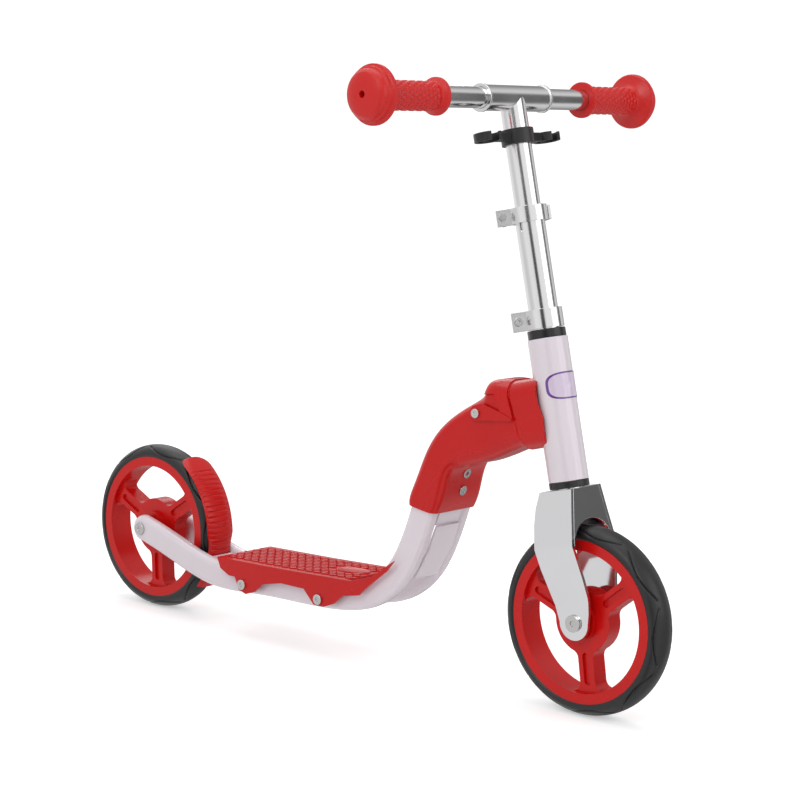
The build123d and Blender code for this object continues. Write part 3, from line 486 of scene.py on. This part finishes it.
# %% Deck tread
BAR_LONG, BAR_WIDE, BAR_TALL, BAR_SKEW, BAR_EDGE = 9.2, 3.6, 2.6, 0.22, 0.55
PITCH_ALONG, PITCH_ACROSS = 12.4, 6.6
TREAD_BACK, TREAD_FRONT, TREAD_HALF_W = -173.0, 24.0, 38.5
PATCH_X, PATCH_HALF, PATCH_CLEAR = -4.0, (24.0, 13.0), (6, 3)
PATCH_STEPS, ABOVE_DECK = 72, 0.3

deck_mesh = bmesh.new()
deck_mesh.from_mesh(nodes["deck"].data)
deck_tree = BVHTree.FromBMesh(deck_mesh)


def deck_top(x, y):
    """Point and normal of the deck's top at x, y in millimetres."""
    point, facing, _, _ = deck_tree.ray_cast(Vector((x * MM, y * MM, ABOVE_DECK)), Vector((0, 0, -1)))
    return point, facing


bm = bmesh.new()
rows = int(TREAD_HALF_W // PITCH_ACROSS)
for row in range(-rows, rows + 1):
    x = TREAD_BACK + (PITCH_ALONG / 2 if row % 2 else 0)
    while x < TREAD_FRONT - BAR_LONG / 2:
        y = row * PITCH_ACROSS
        patch_x = (x - PATCH_X) / (PATCH_HALF[0] + PATCH_CLEAR[0])
        patch_y = y / (PATCH_HALF[1] + PATCH_CLEAR[1])
        spot, normal = deck_top(x, y)
        if spot is not None and not patch_x**2 + patch_y**2 < 1:
            along = Vector((normal.z, 0, -normal.x))
            skew = (along * cos(BAR_SKEW) + sideways * sin(BAR_SKEW)).normalized()
            across = normal.cross(skew)
            made = bmesh.ops.create_cube(bm, size=1.0)
            to_place = Matrix.Translation(spot) @ Matrix((skew, across, normal)).transposed().to_4x4()
            size = Matrix.Diagonal((BAR_LONG * MM, BAR_WIDE * MM, BAR_TALL * MM, 1))
            bmesh.ops.transform(bm, matrix=to_place @ size, verts=made["verts"])
        x += PITCH_ALONG
bmesh.ops.bevel(
    bm, geom=bm.edges[:], offset=BAR_EDGE * MM, segments=2, profile=0.5, affect="EDGES", material=-1,
    clamp_overlap=True,
)
bmesh.ops.recalc_face_normals(bm, faces=bm.faces)
tread = keep_mesh(bm, "deck_tread", "red_plastic", "frame")
print(tread.name, len(tread.data.polygons), "faces")

patch_centre, normal = deck_top(PATCH_X, 0)
patch_out = Vector((normal.z, 0, -normal.x))
patch_profile = [(0.001, 1.1), (0.80, 1.1), (0.86, 1.6), (0.94, 1.6), (1.0, -0.5)]
bm = spun(patch_profile, Vector(), Vector((0, 0, 1)), Vector((1, 0, 0)), PATCH_STEPS)
stretch = Matrix.Diagonal((PATCH_HALF[0], PATCH_HALF[1], 1, 1))
lay = Matrix.Translation(patch_centre) @ Matrix((patch_out, sideways, normal)).transposed().to_4x4()
bmesh.ops.transform(bm, matrix=lay @ stretch, verts=bm.verts)
bmesh.ops.recalc_face_normals(bm, faces=bm.faces)
patch = keep_mesh(bm, "deck_patch", "red_plastic", "frame")
print(patch.name, len(patch.data.polygons), "faces")
deck_mesh.free()

# %% [markdown]
# ## Head badge
# A thin printed badge is wrapped around the front of the head tube. It is spun as a flat disc of rings,
# drawn out to a rounded lozenge, and then rolled to the tube's radius. Its border is a second colour.

# %% Badge
BADGE_HALF_ARC, BADGE_HALF_H, TUBE_R = 29.0, 14.2, 21.0
BADGE_STEPS, BADGE_ROUND, BORDER_SHARE, EDGE_SHARE = 128, 0.62, 0.87, 0.98
FACE_RISE, BORDER_RISE, EDGE_SINK = 0.62, 0.68, 0.1
badge_low, badge_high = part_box("head_badge")
badge_mid = (badge_low + badge_high) / 2
along_axis = (badge_mid.z - steer_foot.z) / steer_up.z
badge_axis = steer_foot + steer_up * along_axis
ring_shares = [0.001, 0.2, 0.4, 0.6, 0.75, 0.86, 0.88, 0.96, 1.0]
badge_profile = [(share / MM, 0) for share in ring_shares]
bm = spun(badge_profile, Vector(), Vector((0, 0, 1)), Vector((1, 0, 0)), BADGE_STEPS)
for face in bm.faces:
    face.material_index = 1 if face.calc_center_median().length > BORDER_SHARE else 0
for vert in bm.verts:
    share = min(1.0, sqrt(vert.co.x**2 + vert.co.y**2))
    a = atan2(vert.co.y, vert.co.x)
    wide = abs(cos(a)) ** BADGE_ROUND * (1 if cos(a) > 0 else -1) * share * BADGE_HALF_ARC
    high = abs(sin(a)) ** BADGE_ROUND * (1 if sin(a) > 0 else -1) * share * BADGE_HALF_H
    height = TUBE_R + (FACE_RISE if share < BORDER_SHARE else BORDER_RISE)
    if share > EDGE_SHARE:
        height = TUBE_R - EDGE_SINK
    turn_to = wide / TUBE_R
    vert.co = badge_axis + (
        steer_forward * cos(turn_to) * height + sideways * sin(turn_to) * height + steer_up * high
    ) * MM
bmesh.ops.recalc_face_normals(bm, faces=bm.faces)
badge = keep_mesh(bm, "head_badge_wrapped", "badge", "head")
badge.data.materials.append(finishes["badge_border"])
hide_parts("head_badge")
print(badge.name, len(badge.data.polygons), "faces")

# %% [markdown]
# ## Studio
# A wide pale disc is the floor, and it meets a white surround. The floor's glow is seen directly but
# lights nothing. Large lamps give soft light. Reflections alone see dark bands around the room, which
# draw the dark lines that polished tubes show.

# %% Floor and light
FLOOR_R, FLOOR_STEPS, FLOOR_GLOW = 3.4, 128, 0.42
ROOM_LIGHT, SURROUND_SEEN, SURROUND_MIRRORED = 0.55, 1.1, 0.95
bm = bmesh.new()
bmesh.ops.create_circle(bm, cap_ends=True, radius=FLOOR_R, segments=FLOOR_STEPS)
floor_mesh = bpy.data.meshes.new("floor")
bm.to_mesh(floor_mesh)
bm.free()
floor = bpy.data.objects.new("floor", floor_mesh)
bpy.context.scene.collection.objects.link(floor)
paper = finish("paper", (0.86, 0.86, 0.86), (0.88, 0.88, 0.88), (0.8, 0.9), bump=0.0, specular=0.1)
glow = paper.node_tree.nodes["Principled BSDF"]
glow.inputs["Emission Color"].default_value = (1.0, 1.0, 1.0, 1.0)
seen_only = paper.node_tree.nodes.new("ShaderNodeLightPath")
softened = paper.node_tree.nodes.new("ShaderNodeMath")
softened.operation = "MULTIPLY"
softened.inputs[1].default_value = FLOOR_GLOW
paper.node_tree.links.new(seen_only.outputs["Is Camera Ray"], softened.inputs[0])
paper.node_tree.links.new(softened.outputs["Value"], glow.inputs["Emission Strength"])
floor.data.materials.append(paper)
floor.visible_glossy = False


def area_lamp(name, place, target, size, power):
    """Square lamp that faces a point."""
    data = bpy.data.lights.new(name, "AREA")
    data.size = size
    data.energy = power
    lamp = bpy.data.objects.new(name, data)
    bpy.context.scene.collection.objects.link(lamp)
    lamp.location = place
    lamp.rotation_euler = (Vector(target) - Vector(place)).to_track_quat("-Z", "Y").to_euler()


scooter_middle = Vector((0.0, 0.0, 0.3))
area_lamp("key", (0.9, -3.0, 2.6), scooter_middle, 1.8, 34)
area_lamp("fill", (3.0, 0.8, 1.6), scooter_middle, 2.0, 16)
area_lamp("top", (-0.4, 0.2, 3.2), scooter_middle, 2.6, 30)
area_lamp("back", (-2.4, 2.2, 2.4), scooter_middle, 1.6, 14)
world = bpy.data.worlds.new("studio")
bpy.context.scene.world = world
world.use_nodes = True
sky = world.node_tree
backdrop = sky.nodes["Background"]
backdrop.inputs["Color"].default_value = (1.0, 1.0, 1.0, 1.0)
backdrop.inputs["Strength"].default_value = ROOM_LIGHT
seen = sky.nodes.new("ShaderNodeBackground")
seen.inputs["Color"].default_value = (1.0, 1.0, 1.0, 1.0)
seen.inputs["Strength"].default_value = SURROUND_SEEN
mirrored = sky.nodes.new("ShaderNodeBackground")
mirrored.inputs["Strength"].default_value = SURROUND_MIRRORED
facing = sky.nodes.new("ShaderNodeTexCoord")
compass = sky.nodes.new("ShaderNodeTexGradient")
compass.gradient_type = "RADIAL"
sky.links.new(facing.outputs["Generated"], compass.inputs["Vector"])
bands = sky.nodes.new("ShaderNodeValToRGB")
bands.color_ramp.interpolation = "EASE"
stops = [
    (0.0, 1.0), (0.1, 0.75), (0.136, 0.8), (0.2, 1.0), (0.28, 0.95), (0.305, 0.05),
    (0.345, 0.08), (0.37, 1.0), (0.52, 1.0), (0.555, 0.12), (0.575, 1.0), (0.605, 0.9),
    (0.63, 0.15), (0.655, 0.12), (0.68, 0.8), (0.84, 0.3), (0.92, 1.0),
]
for number, (turn_share, value) in enumerate(stops):
    stop = bands.color_ramp.elements[number] if number < 2 else bands.color_ramp.elements.new(turn_share)
    stop.position = turn_share
    stop.color = (value, value, value, 1)
sky.links.new(compass.outputs["Color"], bands.inputs["Fac"])
sky.links.new(bands.outputs["Color"], mirrored.inputs["Color"])
rays = sky.nodes.new("ShaderNodeLightPath")
for_glossy = sky.nodes.new("ShaderNodeMixShader")
for_camera = sky.nodes.new("ShaderNodeMixShader")
sky.links.new(rays.outputs["Is Glossy Ray"], for_glossy.inputs["Fac"])
sky.links.new(backdrop.outputs["Background"], for_glossy.inputs[1])
sky.links.new(mirrored.outputs["Background"], for_glossy.inputs[2])
sky.links.new(rays.outputs["Is Camera Ray"], for_camera.inputs["Fac"])
sky.links.new(for_glossy.outputs["Shader"], for_camera.inputs[1])
sky.links.new(seen.outputs["Background"], for_camera.inputs[2])
sky.links.new(for_camera.outputs["Shader"], sky.nodes["World Output"].inputs["Surface"])
bpy.context.scene.view_settings.view_transform = "Standard"
print("floor and", len(stops), "reflection stops")
